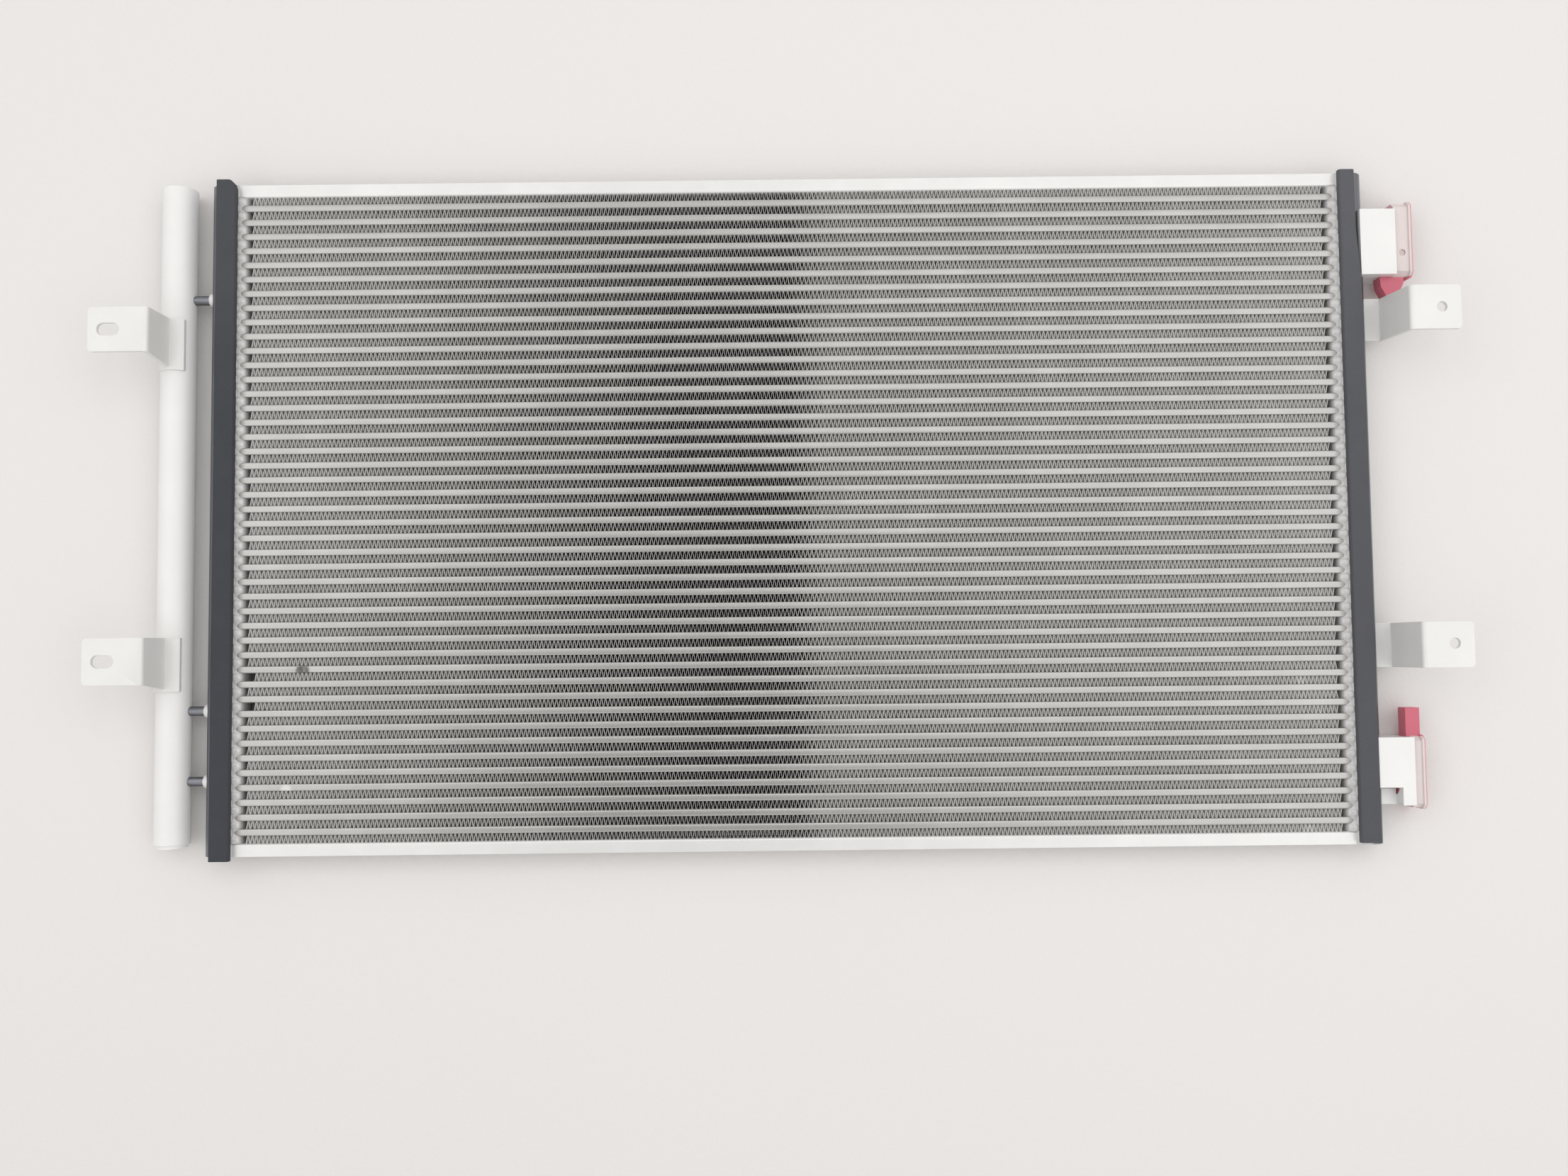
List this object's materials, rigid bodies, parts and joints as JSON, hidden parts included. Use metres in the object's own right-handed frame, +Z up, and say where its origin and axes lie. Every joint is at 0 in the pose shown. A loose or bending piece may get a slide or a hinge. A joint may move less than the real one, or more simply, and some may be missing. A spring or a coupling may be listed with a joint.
{
  "type": "condenser coil",
  "caption": "Flat parallel-flow condenser coil with two headers, a side receiver, foam edge seals, four raised mounting lugs and capped inlet and outlet blocks.",
  "frame": {"origin": "bottom centre of the coil as it lies with its mounting lugs facing up", "axes": "+X along the flat tubes towards the inlet and outlet blocks, +Y across the tubes towards the inlet block, +Z up through the core towards the lugs"},
  "size_m": [0.9108, 0.467, 0.0545],
  "materials": {
    "tube_aluminium": "mill-finish flat tube, slightly dulled by brazing",
    "fin_aluminium": "thin bright fin strip",
    "header_aluminium": "brazed aluminium, satin",
    "receiver_aluminium": "pale satin aluminium tube",
    "bracket_aluminium": "pale sheet aluminium",
    "block_aluminium": "machined aluminium block",
    "foam": "closed-cell foam, slate grey, matt",
    "cap_plastic": "thin red moulded plastic",
    "seal_rubber": "black rubber",
    "filter_plastic": "natural plastic mesh",
    "desiccant_fabric": "felt bag of drying beads"
  },
  "bodies": {
    "root": {"bracket_left_lower": "bracket_aluminium", "bracket_left_upper": "bracket_aluminium", "bracket_right_lower": "bracket_aluminium", "bracket_right_upper": "bracket_aluminium", "desiccant_bag": "desiccant_fabric", "fin_strips_pass_1": "fin_aluminium", "fin_strips_pass_2": "fin_aluminium", "fin_strips_pass_3": "fin_aluminium", "fin_strips_pass_4": "fin_aluminium", "flat_tubes_pass_1": "tube_aluminium", "flat_tubes_pass_2": "tube_aluminium", "flat_tubes_pass_3": "tube_aluminium", "flat_tubes_pass_4": "tube_aluminium", "foam_strip_left": "foam", "foam_strip_right": "foam", "header_baffles": "header_aluminium", "header_end_caps": "header_aluminium", "header_left": "header_aluminium", "header_right": "header_aluminium", "inlet_block": "block_aluminium", "inlet_dust_cap": "cap_plastic", "neck_from_receiver": "header_aluminium", "neck_to_receiver": "header_aluminium", "outlet_block": "block_aluminium", "outlet_dust_cap": "cap_plastic", "plug_o_ring": "seal_rubber", "receiver_filter": "filter_plastic", "receiver_plug": "receiver_aluminium", "receiver_support": "header_aluminium", "receiver_top_cap": "receiver_aluminium", "receiver_tube": "receiver_aluminium", "side_plate_bottom": "header_aluminium", "side_plate_top": "header_aluminium"}
  },
  "joints": []
}
